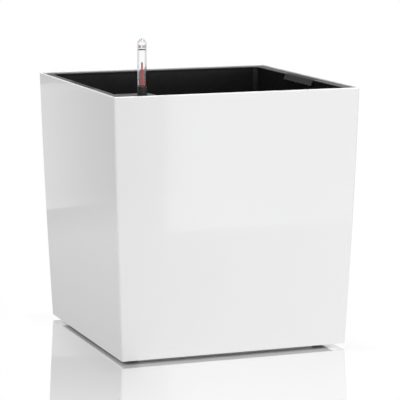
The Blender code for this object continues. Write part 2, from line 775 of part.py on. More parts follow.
def drain_plug(parts, tools):
    """Plug with a grip bar, screwed down on a rubber seal in the floor's drain boss."""
    seal_bottom = BOSS_TOP + GAP
    seal_top = seal_bottom + SEAL_THICKNESS
    profile = [
        (PLUG_HEAD_RADIUS - SMALL_CHAMFER, seal_top),
        (PLUG_HEAD_RADIUS - SMALL_CHAMFER, seal_bottom),
        (DRAIN_RADIUS + GAP, seal_bottom),
        (DRAIN_RADIUS + GAP, seal_top),
    ]
    paint(turned("drain_seal", parts, profile), RUBBER, 0.7)
    head_bottom = seal_top + GAP
    head_top = head_bottom + PLUG_HEAD_THICKNESS
    stem = DRAIN_RADIUS - RUNNING_GAP
    stem_bottom = SHELL_BOTTOM + PLUG_END_GAP
    profile = [
        (0, head_top),
        (PLUG_HEAD_RADIUS - SMALL_CHAMFER, head_top),
        (PLUG_HEAD_RADIUS, head_top - SMALL_CHAMFER),
        (PLUG_HEAD_RADIUS, head_bottom),
        (stem, head_bottom),
        (stem, stem_bottom + 2 * SMALL_CHAMFER),
        (stem - 2 * SMALL_CHAMFER, stem_bottom),
        (0, stem_bottom),
    ]
    plug = turned("drain_plug", parts, profile)
    length = PLUG_HEAD_RADIUS - PLUG_GRIP_INSET
    half = PLUG_GRIP_WIDTH / 2
    low = (-length, -half, head_top - OVERLAP)
    high = (length, half, head_top + PLUG_GRIP_HEIGHT)
    join(plug, box("plug_grip", tools, low, high))
    paint(plug, BLACK, 0.4)


def main():
    clear_scene()
    parts = collection("self_watering_planter")
    tools = collection("cutters")
    outer_planter(parts, tools)
    drain_plug(parts, tools)
    planter_liner(parts, tools)
    separator_plate(parts, tools)
    soak_baskets(parts, tools)
    water_supply_shaft(parts, tools)
    shaft_cover(parts, tools)
    filler_lid(parts, tools)
    water_indicator(parts)
    float_parts(parts)
    handles(parts, tools)


main()
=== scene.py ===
"""Looks of the self-watering cube planter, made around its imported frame.

Metres, +Z up, front face along -Y. Each visible piece keeps the sizes of the CAD node that it
replaces and adds what a moulded part has: rounded edges, ribs, slots, grooves and marks.
"""

import math

import bmesh
import bpy
from mathutils import Matrix, Vector


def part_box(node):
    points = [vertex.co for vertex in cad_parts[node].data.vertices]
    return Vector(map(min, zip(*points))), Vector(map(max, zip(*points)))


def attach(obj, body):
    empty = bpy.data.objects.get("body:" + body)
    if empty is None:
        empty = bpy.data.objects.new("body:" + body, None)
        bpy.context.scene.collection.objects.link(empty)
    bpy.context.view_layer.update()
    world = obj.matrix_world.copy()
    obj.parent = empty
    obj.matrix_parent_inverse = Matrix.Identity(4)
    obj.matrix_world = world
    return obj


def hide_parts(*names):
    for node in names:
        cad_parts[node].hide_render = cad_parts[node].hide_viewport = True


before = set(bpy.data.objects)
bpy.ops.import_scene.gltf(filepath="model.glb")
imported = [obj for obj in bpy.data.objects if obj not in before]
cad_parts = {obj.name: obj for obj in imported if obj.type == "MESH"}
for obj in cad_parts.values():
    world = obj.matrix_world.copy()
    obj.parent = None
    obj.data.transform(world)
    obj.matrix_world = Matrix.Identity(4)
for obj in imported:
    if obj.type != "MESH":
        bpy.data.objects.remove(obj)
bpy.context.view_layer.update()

# Outer planter.
SHELL_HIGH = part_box("outer_planter")[1]
RIM_HALF = SHELL_HIGH.x
RIM_TOP = SHELL_HIGH.z
SHELL_BOTTOM = 0.0052
WALL_TAPER = 0.0090
WALL_BULGE = 0.0048
WALL = 0.0034
FLOOR_TOP = 0.0088
PLINTH_RECESS = 0.038
PLINTH_WIDTH = 0.010
CORNER_RADIUS = 0.003
INNER_CORNER = 0.0012
EDGE_FILLET = 0.0014
LIP = 0.0026
COLLAR_INSET = 0.0056
COLLAR_DEPTH = 0.008
DRAIN_RADIUS = 0.0095
BOSS_RADIUS = 0.015
BOSS_TOP = 0.0138
UNDER_RIB_PITCH = 0.045
UNDER_RIB_COUNT = 6
UNDER_RIB_WIDTH = 0.002
UNDER_RIB_BOTTOM = 0.0014

# Fits: clearances, how far joined solids overlap, how far cutting tools reach out, and the
# radius of an edge that looks sharp.
GAP = 0.0003
RUNNING_GAP = 0.0004
OVERLAP = 0.001
REACH = 0.010
SHARP = 0.0003

# Liner.
LINER_LOW, LINER_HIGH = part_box("planter_liner")
FLANGE_OUTER = LINER_HIGH.x
FLANGE_TOP = LINER_HIGH.z
FLANGE_THICKNESS = 0.0026
FLANGE_BOTTOM = FLANGE_TOP - FLANGE_THICKNESS
FLANGE_INNER = 0.1775
FLANGE_CORNER = 0.0015
FLANGE_EDGE = 0.0008
LINER_FLOOR = LINER_LOW.z
LINER_WALL = 0.0026
LINER_STEP = 0.0008
LINER_FLOOR_HALF = 0.168
LINER_LEDGE_HALF = 0.150
LINER_CORNER = 0.009
LINER_FILLET = 0.003
RIB_WIDTH = 0.002
RIB_DEPTH = 0.0052
RIB_PLACES = (-0.120, -0.080, 0.0, 0.080, 0.120)

# Water supply shaft, its cover and its lid.
SHAFT_LOW, SHAFT_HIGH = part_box("water_supply_shaft")
COVER_LOW, COVER_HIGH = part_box("shaft_cover")
LID_LOW, LID_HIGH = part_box("filler_lid")
PIN_LOW, PIN_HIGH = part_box("lid_pin")
POCKET_X = COVER_HIGH.x - LINER_WALL
POCKET_Y = COVER_HIGH.y - LINER_WALL
POCKET_OUTER = (POCKET_X + LINER_WALL, POCKET_Y + LINER_WALL)
SHAFT_WALL = 0.0016
COVER_CORNER = 0.012
SKIRT_WALL = 0.0014
PIN_RADIUS = (PIN_HIGH.z - PIN_LOW.z) / 2
HINGE_Y = (PIN_LOW.y + PIN_HIGH.y) / 2
HINGE_Z = (PIN_LOW.z + PIN_HIGH.z) / 2
KNUCKLE_RADIUS = LID_HIGH.y - HINGE_Y
LID_THICKNESS = 0.002

# Water level indicator.
TUBE_LOW, TUBE_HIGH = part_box("guide_tube")
CAP_LOW, CAP_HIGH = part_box("guide_tube_end_cap")
SIGHT_LOW, SIGHT_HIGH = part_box("sight_tube")
BUSH_LOW, BUSH_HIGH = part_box("indicator_bush")
GAUGE = ((TUBE_LOW.x + TUBE_HIGH.x) / 2, (TUBE_LOW.y + TUBE_HIGH.y) / 2)
TUBE_RADIUS = (TUBE_HIGH.x - TUBE_LOW.x) / 2
TUBE_BORE = TUBE_RADIUS - 0.0014
SIGHT_RADIUS = (SIGHT_HIGH.x - SIGHT_LOW.x) / 2
SIGHT_WALL = 0.0012
SIGHT_BASE = TUBE_HIGH.z + GAP
MIN_MARK = (FLANGE_TOP + 0.0150, FLANGE_TOP + 0.0212)
MAX_LINE = (FLANGE_TOP + 0.0664, FLANGE_TOP + 0.0676)
MAX_TICKS = (FLANGE_TOP + 0.0698, FLANGE_TOP + 0.0738)
DASHES = ((197, 11), (213, 11), (229, 9), (256, 8), (271, 8), (287, 9), (304, 10))

# Handles.
GRIP_LOW, GRIP_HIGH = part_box("handle_right")
GRIP_THICKNESS = 0.003
GRIP_LIP_DEPTH = 0.009
GRIP_LIP_SLOPE = 0.004
GRIP_LIP_THICKNESS = 0.0024
LEG_INNER = 0.1826
LEG_THICKNESS = 0.003
LEG_WIDTH = 0.014
LEG_SPACING = 0.088
GUIDE_BOTTOM = 0.372
GUIDE_TOP = 0.386
GUIDE_OUTER = 0.1876
GUIDE_CHEEK = 0.003
GUIDE_ROOF = 0.002
GROOVE_DEPTH = 0.0006
NOTCH_CLEARANCE = 0.0024

# Separator and soak baskets.
SEPARATOR_LOW, SEPARATOR_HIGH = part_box("separator_plate")
BASKET_LOW, BASKET_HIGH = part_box("soak_basket_4")
BASKET_PLACE = (BASKET_LOW.x + BASKET_HIGH.x) / 2
BASKET_RIM = (BASKET_HIGH.x - BASKET_LOW.x) / 2
BASKET_RADIUS = 0.029
BASKET_FOOT = 0.0245
BASKET_WALL = 0.002
BASKET_SLOTS = 16
BASKET_SLOT_HEIGHTS = ((0.006, 0.032), (0.038, 0.062))
BASKET_HOLES = ((0.008, 8), (0.016, 16))
BASKET_SLOT_REACH = (0.019, 0.034)
SEAT_MARGIN = 0.004
SLOT_WIDTH = 0.0036
SLOT_HALF_LENGTH = 0.009
SLOT_PITCH = (0.024, 0.012)
SLOT_AREA = (0.150, 0.152)
POCKET_MARGIN = (0.022, 0.014)

# Drain plug.
PLUG_LOW, PLUG_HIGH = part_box("drain_plug")
SEAL_LOW, SEAL_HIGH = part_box("drain_seal")

# Steps round a lathed solid.
MEDIUM = 32
FINE = 64
FINER = 96
FINEST = 180

# Stage: strength of the world round the horizon, and powers of the lights in watts.
HORIZON = 1.0
KEY_POWER = 13
TOP_POWER = 46
PANEL_POWER = 2.4
SIDE_POWER = 0.12

# Pairs of a place and the strength there. SKY goes by the height of a ray's direction, the
# reaches by metres from the middle of the floor, UNDER_SHADE and FOOT_SHADE by metres outside
# the shell's foot, LEFT_SHADE by X, FAR_OFF by a ray's length, and LOW_VIEW by how level the
# view of the floor is. UNDER_SHADE is narrower at the left and right, by SIDE_STRETCH.
SKY = ((0.26, HORIZON), (0.52, 0.30))
MIRROR_REACH = ((0.17, 1.0), (1.03, 0.0))
GLOW_REACH = ((0.9, 0.81), (1.4, 0.50))
UNDER_SHADE = ((-0.023, 0.0), (-0.016, 1.5), (-0.004, 1.1), (0.001, 1.0))
FOOT_SHADE = ((-0.02, 0.3), (0.0, 0.7), (0.05, 0.97), (0.2, 1.0))
LEFT_SHADE = ((-0.60, 1.0), (-0.155, 0.72), (-0.150, 1.0))
FAR_OFF = ((1.85, 0.0), (2.05, 1.0))
LOW_VIEW = ((0.60, 0.0), (0.75, 1.0))
SIDE_STRETCH = 1.9
FLOOR_GLOSS = 0.02

# Materials. Noise stays mostly inside NOISE_RANGE. LEVEL_RANGE is of a normal's Z, from steep
# to level. Colour goes by BLOTCH_SCALE and roughness by SMEAR_SCALE.
WHITE = (0.90, 0.90, 0.905)
BLACK = (0.008, 0.008, 0.0085)
NOISE_RANGE = (0.3, 0.7)
LEVEL_RANGE = (0.6, 0.9)
BLOTCH_SCALE = 18.0
SMEAR_SCALE = 126.0
# How sharply the painted shade at the sight tube's edges rises toward its outline.
EDGE_SHADE_POWER = 1.6

# Points nearer to a lathe's axis count as on it.
ON_AXIS = 1e-7


# ---------- materials

def add_node(tree, kind, **inputs):
    """A new shader node. Each input is a number, a colour or a node's output."""
    node = tree.nodes.new(f"ShaderNode{kind}")
    for name, value in inputs.items():
        socket = node.inputs[name.replace("_", " ")]
        if isinstance(value, bpy.types.NodeSocket):
            tree.links.new(value, socket)
        else:
            socket.default_value = value
    return node


def new_material(name):
    material = bpy.data.materials.new(name)
    material.use_nodes = True
    return material, material.node_tree, material.node_tree.nodes["Principled BSDF"]


def noise(tree, scale, detail=3.0):
    """Noise on the piece's own coordinates, so it moves with the piece."""
    place = add_node(tree, "TexCoord").outputs["Object"]
    return add_node(tree, "TexNoise", Vector=place, Scale=scale, Detail=detail).outputs["Fac"]


def mapped(tree, value, source, target=(0.0, 1.0)):
    """Carries a value from one range to another, held at its ends."""
    return add_node(tree, "MapRange", Value=value, From_Min=source[0], From_Max=source[1],
                    To_Min=target[0], To_Max=target[1]).outputs["Result"]


def axes(tree, kind, output):
    """The X, Y and Z sockets of a new node's output."""
    source = add_node(tree, kind).outputs[output]
    return add_node(tree, "SeparateXYZ", Vector=source).outputs


def blend_colours(tree, factor, first, second):
    node = add_node(tree, "Mix")
    node.data_type = "RGBA"
    node.inputs["A"].default_value = (*first, 1)
    node.inputs["B"].default_value = (*second, 1)
    tree.links.new(factor, node.inputs["Factor"])
    return node.outputs["Result"]


def roughen(tree, shader, heights):
    """Chains bumps, each a height and its depth in metres."""
    normal = None
    for height, depth in heights:
        bump = add_node(tree, "Bump", Distance=depth, Height=height)
        if normal is not None:
            tree.links.new(normal, bump.inputs["Normal"])
        normal = bump.outputs["Normal"]
    tree.links.new(normal, shader.inputs["Normal"])


def facing_up(tree):
    """0 on upright and downward faces, 1 on level faces that look up."""
    return mapped(tree, axes(tree, "TexCoord", "Normal")["Z"], LEVEL_RANGE)


def operation(tree, kind, *values):
    node = add_node(tree, "Math")
    node.operation = kind
    for socket, value in zip(node.inputs, values):
        if isinstance(value, (int, float)):
            socket.default_value = value
        else:
            tree.links.new(value, socket)
    return node.outputs["Value"]


def painted_edge_shade(material, plain, edge):
    """Clear moulding with painted shade: each wall's colour is darker where it is seen edge on,
    standing in for the shade at the tube's edges.
    """
    tree = material.node_tree
    weight = add_node(tree, "LayerWeight", Blend=0.5)
    steep = operation(tree, "POWER", weight.outputs["Facing"], EDGE_SHADE_POWER)
    tree.links.new(blend_colours(tree, steep, plain, edge),
                   tree.nodes["Principled BSDF"].inputs["Base Color"])


def plastic(name, colour, drift, roughness, grains, matt_top=0.0, **sockets):
    """Moulded plastic: colour and roughness drift in broad blotches under a fine grain.

    The grains are (scale, depth in metres) pairs. A matt_top is added to the roughness of the
    faces that look up.
    """
    material, tree, shader = new_material(name)
    low = tuple(channel * (1 - drift) for channel in colour)
    high = tuple(channel * (1 + drift) for channel in colour)
    factor = mapped(tree, noise(tree, BLOTCH_SCALE), NOISE_RANGE)
    tree.links.new(blend_colours(tree, factor, low, high), shader.inputs["Base Color"])
    rough = mapped(tree, noise(tree, SMEAR_SCALE, 2.0), NOISE_RANGE, roughness)
    if matt_top:
        rough = operation(tree, "MULTIPLY_ADD", facing_up(tree), matt_top, rough)
    tree.links.new(rough, shader.inputs["Roughness"])
    roughen(tree, shader, [(noise(tree, scale), depth) for scale, depth in grains])
    for socket, value in sockets.items():
        shader.inputs[socket.replace("_", " ")].default_value = value
    MATERIALS[name] = material
    return material


MATERIALS = {}
plastic("gloss_white_shell", WHITE, 0.004, (0.16, 0.20), [(240, 0.000008)], Coat_Weight=1.0,
        Coat_Roughness=0.02)
plastic("black_liner", BLACK, 0.10, (0.18, 0.22), [(1500, 0.00001)], matt_top=0.16)
plastic("black_moulding", BLACK, 0.15, (0.42, 0.55), [(1100, 0.00006)])
plastic("black_handle", BLACK, 0.10, (0.34, 0.40), [(1500, 0.00001)], matt_top=0.06,
        Specular_IOR_Level=0.15)
plastic("black_tube", BLACK, 0.10, (0.25, 0.35), [(900, 0.00002)])
plastic("black_rubber", (0.02, 0.02, 0.02), 0.2, (0.65, 0.8), [(1500, 0.00006)])
# Painted shade: the sight tube's colour turns dark where its walls are seen edge on.
painted_edge_shade(plastic("clear_sight_tube", (0.97, 0.98, 0.985), 0.005, (0.0, 0.02),
                    [(150, 0.000004)], Transmission_Weight=1.0, IOR=1.49),
            (0.98, 0.985, 0.99), (0.10, 0.11, 0.12))
plastic("red_marker", (0.38, 0.035, 0.040), 0.10, (0.25, 0.35), [(900, 0.00002)])
plastic("white_float", (0.8, 0.8, 0.78), 0.05, (0.6, 0.8), [(900, 0.0001)])
plastic("hinge_steel", (0.6, 0.6, 0.6), 0.05, (0.2, 0.3), [(1200, 0.00001)], Metallic=1.0)


# ---------- shapes

def rectangle(low, high, radii, z, steps=10):
    """Points round a rectangle, anticlockwise from its front right corner, with arc corners."""
    corners = ((1, 0, 1, -1), (1, 1, 1, 1), (0, 1, -1, 1), (0, 0, -1, -1))
    points = []
    for quarter, ((pick_x, pick_y, sign_x, sign_y), radius) in enumerate(zip(corners, radii)):
        centre_x = (low[0], high[0])[pick_x] - sign_x * radius
        centre_y = (low[1], high[1])[pick_y] - sign_y * radius
        for step in range(steps + 1):
            angle = math.pi / 2 * (quarter - 1 + step / steps)
            x = centre_x + radius * math.cos(angle)
            y = centre_y + radius * math.sin(angle)
            points.append((x, y, z))
    return points


def square(half, radius, z):
    return rectangle((-half, -half), (half, half), [radius] * 4, z)


def squares(profile, radius):
    """Square rings at the (half width, z) points of a profile, with one corner radius."""
    return [square(half, radius, z) for half, z in profile]


def arc(centre_x, centre_z, radius, start, end, steps=5):
    """Points along an arc, from one angle to another in degrees."""
    points = []
    for step in range(steps + 1):
        angle = math.radians(start + (end - start) * step / steps)
        points.append((centre_x + radius * math.cos(angle), centre_z + radius * math.sin(angle)))
    return points


def between(low, high, steps):
    return [low + (high - low) * step / steps for step in range(steps + 1)]


def new_object(name, data):
    obj = bpy.data.objects.new(name, data)
    bpy.context.scene.collection.objects.link(obj)
    return obj


def to_mesh(bm, name="shape"):
    mesh = bpy.data.meshes.new(name)
    bm.to_mesh(mesh)
    bm.free()
    return mesh


def loft(rings, closed=False):
    """A solid through rings of points, its ends filled, or joined to each other if closed."""
    bm = bmesh.new()
    loops = [[bm.verts.new(point) for point in ring] for ring in rings]
    pairs = list(zip(loops, loops[1:]))
    if closed:
        pairs.append((loops[-1], loops[0]))
    else:
        bm.faces.new(reversed(loops[0]))
        bm.faces.new(loops[-1])
    for first, second in pairs:
        count = len(first)
        for i in range(count):
            j = (i + 1) % count
            bm.faces.new((first[i], first[j], second[j], second[i]))
    return to_mesh(bm)


def lathe(profile, centre=(0, 0), steps=FINE, wobble=None):
    """A round solid about Z. Its (radius, z) points run down the outer side and up the inner."""
    bm = bmesh.new()
    rings = []
    for index, (radius, z) in enumerate(profile):
        if radius < ON_AXIS:
            rings.append([bm.verts.new((centre[0], centre[1], z))] * steps)
            continue
        ring = []
        for step in range(steps):
            angle = 2 * math.pi * step / steps
            reach = radius + (wobble(index, angle, z) if wobble else 0)
            x = centre[0] + reach * math.cos(angle)
            y = centre[1] + reach * math.sin(angle)
            ring.append(bm.verts.new((x, y, z)))
        rings.append(ring)
    for first, second in zip(rings, rings[1:] + rings[:1]):
        for i in range(steps):
            j = (i + 1) % steps
            corners = list(dict.fromkeys((first[i], second[i], second[j], first[j])))
            if len(corners) > 2:
                bm.faces.new(corners)
    return to_mesh(bm)


def rod(radius, z_low, z_high, centre=(0, 0), steps=FINE):
    return lathe([(0, z_high), (radius, z_high), (radius, z_low), (0, z_low)], centre, steps)


def block(low, high, radius=0.0, segments=3):
    """A box between two opposite corners, with rounded edges if a radius is given."""
    bm = bmesh.new()
    bmesh.ops.create_cube(bm, size=1.0)
    for vertex in bm.verts:
        for axis in range(3):
            middle = (low[axis] + high[axis]) / 2
            vertex.co[axis] = middle + vertex.co[axis] * abs(high[axis] - low[axis])
    if radius:
        bmesh.ops.bevel(bm, geom=bm.edges, offset=radius, segments=segments, profile=0.5,
                        affect="EDGES")
    return to_mesh(bm)


def together(meshes):
    """Meshes that don't touch, as one."""
    bm = bmesh.new()
    for mesh in meshes:
        bm.from_mesh(mesh)
    return to_mesh(bm)


def moved(mesh, matrix):
    mesh.transform(matrix)
    return mesh


def applied(mesh, add_modifiers):
    """The mesh after the modifiers that add_modifiers puts on an object of it."""
    work = new_object("work", mesh)
    helpers = add_modifiers(work) or []
    graph = bpy.context.evaluated_depsgraph_get()
    result = bpy.data.meshes.new_from_object(work.evaluated_get(graph))
    for obj in [work, *helpers]:
        bpy.data.objects.remove(obj)
    return result


def combined(mesh, *steps):
    """The mesh after Booleans, each step an operation and a tool mesh."""
    def add(work):
        helpers = []
        for kind, tool in steps:
            helper = new_object("tool", tool)
            helper.hide_render = True
            modifier = work.modifiers.new(kind, "BOOLEAN")
            modifier.operation = kind
            modifier.object = helper
            helpers.append(helper)
        return helpers
    return applied(mesh, add)


def cut(mesh, *tools):
    return combined(mesh, *[("DIFFERENCE", tool) for tool in tools])


def joined(mesh, *tools):
    return combined(mesh, *[("UNION", tool) for tool in tools])


def eased(mesh, width, segments):
    """Rounds the edges that turn by more than 40 degrees."""
    def add(work):
        bevel = work.modifiers.new("bevel", "BEVEL")
        bevel.width = width
        bevel.segments = segments
        bevel.limit_method = "ANGLE"
        bevel.angle_limit = math.radians(40)
    return applied(mesh, add)


def piece(name, mesh, slot, body, *nodes, sharp=32):
    """Makes an object of a finished mesh, gives it its finish and lets it ride on its body.

    It replaces the nodes. Edges that turn by more than sharp degrees stay crisp.
    """
    def add(work):
        work.modifiers.new("flat faces stay flat", "WEIGHTED_NORMAL").keep_sharp = True
    mesh.shade_smooth()
    mesh.set_sharp_from_angle(angle=math.radians(sharp))
    mesh = applied(mesh, add)
    mesh.name = name
    obj = new_object(name, mesh)
    mesh.materials.clear()
    mesh.materials.append(MATERIALS[slot])
    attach(obj, body)
    if nodes:
        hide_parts(*nodes)


# ---------- outer planter

def shell_half(z):
    """Outer half width at a height: the walls lean in and bulge slightly."""
    depth = (RIM_TOP - z) / (RIM_TOP - SHELL_BOTTOM)
    return RIM_HALF - WALL_TAPER * depth - WALL_BULGE * depth**2


def outer_shell():
    """Hollow shell with a recessed plinth, a lipped rim, ribs below and a bored drain boss."""
    bottom_half = shell_half(SHELL_BOTTOM)
    plinth_outer = bottom_half - PLINTH_RECESS
    plinth_inner = plinth_outer - PLINTH_WIDTH
    edge = 0.0006
    collar_edge = 0.0005
    low_edge = EDGE_FILLET / 2
    high_edge = RIM_TOP - EDGE_FILLET
    top = shell_half(high_edge) - EDGE_FILLET
    lip = RIM_HALF - LIP
    ledge = FLANGE_BOTTOM - GAP
    collar_half = RIM_HALF - COLLAR_INSET
    fillet = LINER_FILLET
    floor_half = shell_half(FLOOR_TOP) - WALL
    plinth = [(plinth_inner, SHELL_BOTTOM), (plinth_inner, edge), (plinth_inner + edge, 0)]
    outside = [(plinth_outer - edge, 0), (plinth_outer, edge), (plinth_outer, SHELL_BOTTOM)]
    outside += arc(bottom_half - low_edge, SHELL_BOTTOM + low_edge, low_edge, -90, 0, 4)
    outside += [(shell_half(z), z) for z in between(SHELL_BOTTOM + low_edge, high_edge, 48)[1:]]
    inside = arc(lip + SHARP, RIM_TOP - SHARP, SHARP, 90, 180, 3)
    inside += [(lip, ledge), (collar_half, ledge), (collar_half, ledge - COLLAR_DEPTH)]
    for z in reversed(between(FLOOR_TOP + fillet, ledge - 2 * COLLAR_DEPTH, 10)):
        inside.append((shell_half(z) - WALL, z))
    inside += arc(floor_half - fillet, FLOOR_TOP + fillet, fillet, 0, -90)[1:]
    rings = squares(plinth, OVERLAP) + squares(outside, CORNER_RADIUS)
    for x, z in arc(top, high_edge, EDGE_FILLET, 0, 90, 6)[1:]:
        rings.append(square(x, CORNER_RADIUS - (top + EDGE_FILLET - x), z))
    shell = loft(rings + squares(inside, INNER_CORNER))
    middle = SHELL_BOTTOM + OVERLAP
    boss = lathe([(0, BOSS_TOP), *arc(BOSS_RADIUS - edge, BOSS_TOP - edge, edge, 90, 0),
                  (BOSS_RADIUS, middle), (0, middle)])
    collar = arc(BOSS_RADIUS - collar_edge, UNDER_RIB_BOTTOM + collar_edge, collar_edge, 0, -90)
    collar = lathe([(0, middle), (BOSS_RADIUS, middle), *collar, (0, UNDER_RIB_BOTTOM)])
    hole = rod(DRAIN_RADIUS, -REACH, BOSS_TOP + REACH)
    shell = joined(shell, boss, *under_ribs(plinth_inner), collar)
    piece("gloss_shell", cut(shell, hole), "gloss_white_shell", "planter", "outer_planter")


def under_ribs(reach):
    """Crossed stiffening ribs under the floor, inside the plinth."""
    across = []
    along = []
    half = UNDER_RIB_WIDTH / 2
    top = SHELL_BOTTOM + OVERLAP
    span = reach + OVERLAP
    for index in range(UNDER_RIB_COUNT):
        place = (index - (UNDER_RIB_COUNT - 1) / 2) * UNDER_RIB_PITCH
        across.append(block((-span, place - half, UNDER_RIB_BOTTOM), (span, place + half, top)))
        along.append(block((place - half, -span, UNDER_RIB_BOTTOM), (place + half, span, top)))
    return together(across), together(along)


def drain_plug():
    """Screw plug with a finger bar, a ribbed head and a thread, on its rubber seal."""
    radius = PLUG_HIGH.x
    stem = DRAIN_RADIUS - RUNNING_GAP
    head_bottom = SEAL_HIGH.z + GAP
    head_top = head_bottom + 0.003
    edge = 0.0008
    chamfer = 0.0004
    pitch = 0.0016
    crest = 0.00035
    rib_depth = 0.0002
    rib_count = 36
    threads = between(head_bottom - edge, PLUG_LOW.z + edge, 48)
    face = radius - 0.003
    profile = [(0, head_top), (face, head_top), (radius - 0.0026, head_top - 0.0003)]
    rib_first = len(profile)
    profile += arc(radius - edge, head_top - edge, edge, 90, 0)
    rib_last = len(profile)
    profile += [(radius, head_bottom + chamfer), (radius - chamfer, head_bottom)]
    first = len(profile)
    profile += [(stem, head_bottom), *[(stem, z) for z in threads]]
    last = len(profile)
    profile += [(stem - edge, PLUG_LOW.z), (0, PLUG_LOW.z)]

    def wobble(index, angle, z):
        if rib_first + 2 <= index <= rib_last:
            return -rib_depth * (1 + math.cos(rib_count * angle)) / 2
        if not first < index < last:
            return 0.0
        turn = (z / pitch + angle / (2 * math.pi)) % 1.0
        return -crest * abs(2 * turn - 1)

    plug = lathe(profile, steps=FINEST, wobble=wobble)
    bar = block((-face, -0.0025, head_top - OVERLAP), (face, 0.0025, PLUG_HIGH.z), 0.0012, 4)
    piece("plug_moulding", joined(plug, bar), "black_moulding", "drain_plug", "drain_plug")
    middle = (SEAL_LOW.z + SEAL_HIGH.z) / 2
    half = (SEAL_HIGH.z - SEAL_LOW.z) / 2
    outer = SEAL_HIGH.x - half
    inner = DRAIN_RADIUS + GAP + half
    ring = arc(outer, middle, half, 90, -90, 8) + arc(inner, middle, half, 270, 90, 8)
    piece("rubber_seal", lathe(ring), "black_rubber", "drain_seal", "drain_seal", sharp=60)


# ---------- liner

def liner_inner_half(z):
    """Inner half width of the liner at a height."""
    share = (z - LINER_FLOOR) / (FLANGE_BOTTOM - LINER_FLOOR)
    return LINER_FLOOR_HALF + share * (FLANGE_INNER + LINER_STEP - LINER_FLOOR_HALF)


def upright(low, high, radius, z_low, z_high):
    """An upright block whose back right edge is rounded, as the corner cover's is."""
    radii = (OVERLAP, radius, OVERLAP, OVERLAP)
    return loft([rectangle(low, high, radii, z) for z in (z_low, z_high)])


def grown(low, high, margin):
    """The corners of a rectangle made larger all round, or smaller by a negative margin."""
    return (low[0] - margin, low[1] - margin), (high[0] + margin, high[1] + margin)


def liner_rings():
    """Round the liner's section: underside, outer wall, flange, inner wall and floor ledge."""
    fillet = LINER_FILLET
    edge = 0.0005
    lip = FLANGE_EDGE
    step_z = FLANGE_BOTTOM - LINER_STEP / 2
    outer_low = LINER_FLOOR_HALF + LINER_WALL
    outer_top = FLANGE_INNER + LINER_STEP + LINER_WALL
    floor_z = LINER_FLOOR + LINER_WALL
    lowest = liner_inner_half(floor_z + fillet)
    outside = [(LINER_LEDGE_HALF, LINER_FLOOR)]
    outside += arc(outer_low - fillet, LINER_FLOOR + fillet, fillet, -90, 0)
    outside.append((outer_top, FLANGE_BOTTOM))
    flange = arc(FLANGE_OUTER - edge, FLANGE_BOTTOM + edge, edge, -90, 0, 3)
    flange += arc(FLANGE_OUTER - edge, FLANGE_TOP - edge, edge, 0, 90, 3)
    inside = arc(FLANGE_INNER + lip, FLANGE_TOP - lip, lip, 90, 180)
    inside += [(FLANGE_INNER, step_z), (FLANGE_INNER + LINER_STEP, step_z - LINER_STEP / 2)]
    inside += arc(lowest - fillet, floor_z + fillet, fillet, 0, -90)
    inside.append((LINER_LEDGE_HALF, floor_z))
    rings = squares(outside, LINER_CORNER) + squares(flange, FLANGE_CORNER)
    return rings + squares(inside, LINER_CORNER)


def liner_ribs():
    """Upright ribs outside the four walls, clear of the corner pocket and the guides."""
    z_low = LINER_FLOOR + 0.016
    z_full = z_low + 0.008
    z_high = FLANGE_BOTTOM - 0.006
    clear = 0.02
    ribs = []
    for quarter in range(4):
        turn = Matrix.Rotation(math.pi / 2 * quarter, 4, "Z")
        for place in RIB_PLACES:
            rings = []
            for z, depth in ((z_low, 0.0002), (z_full, RIB_DEPTH), (z_high, RIB_DEPTH)):
                wall = liner_inner_half(z) + LINER_WALL
                low = (place - RIB_WIDTH / 2, wall - OVERLAP)
                high = (place + RIB_WIDTH / 2, wall + depth)
                rings.append(rectangle(low, high, [SHARP] * 4, z, 2))
            rib = moved(loft(rings), turn)
            centre = sum((vertex.co for vertex in rib.vertices), Vector()) / len(rib.vertices)
            if centre.x > POCKET_X + clear or centre.y > POCKET_Y + clear:
                ribs.append(rib)
    return together(ribs)


def handle_guide(side, end):
    """A block outside the liner's wall, and the slot that a handle's leg slides in."""
    middle = end * LEG_SPACING / 2
    half = LEG_WIDTH / 2 + RUNNING_GAP
    wall = side * (liner_inner_half(GUIDE_BOTTOM) + LINER_WALL / 2)
    guide = block((wall, middle - half - GUIDE_CHEEK, GUIDE_BOTTOM),
                  (side * GUIDE_OUTER, middle + half + GUIDE_CHEEK, GUIDE_TOP), 0.0005, 2)
    near = side * (LEG_INNER - RUNNING_GAP)
    far = side * (LEG_INNER + LEG_THICKNESS + RUNNING_GAP)
    slot = block((near, middle - half, GUIDE_BOTTOM - REACH),
                 (far, middle + half, FLANGE_BOTTOM - GUIDE_ROOF))
    return guide, slot


def liner():
    """Flanged liner with a corner pocket for the supply shaft and notches for the handles."""
    body = loft(liner_rings(), closed=True)
    edge = liner_inner_half(LINER_FLOOR) + LINER_WALL / 2
    column = upright((-edge, -edge), POCKET_OUTER, COVER_CORNER, LINER_FLOOR, FLANGE_BOTTOM - GAP)
    pocket = upright((-RIM_HALF, -RIM_HALF), (POCKET_X, POCKET_Y), COVER_CORNER - LINER_WALL,
                     LINER_FLOOR - REACH, FLANGE_BOTTOM - GAP / 10)
    opening = block((-FLANGE_INNER, -FLANGE_INNER, FLANGE_BOTTOM - GAP), (*POCKET_OUTER, RIM_TOP))
    steps = [("UNION", column), ("UNION", liner_ribs()), ("DIFFERENCE", pocket),
             ("DIFFERENCE", opening)]
    half = GRIP_HIGH.y + RUNNING_GAP
    for side in (-1, 1):
        inner = side * (FLANGE_INNER - REACH)
        outer = side * (GRIP_HIGH.x + RUNNING_GAP)
        notch = block((inner, -half, FLANGE_TOP - GRIP_LIP_DEPTH - NOTCH_CLEARANCE),
                      (outer, half, RIM_TOP), SHARP, 2)
        steps.append(("DIFFERENCE", notch))
        for end in (-1, 1):
            guide, slot = handle_guide(side, end)
            steps += [("UNION", guide), ("DIFFERENCE", slot)]
    mesh = combined(body, *steps)
    piece("liner_moulding", mesh, "black_liner", "liner", "planter_liner")


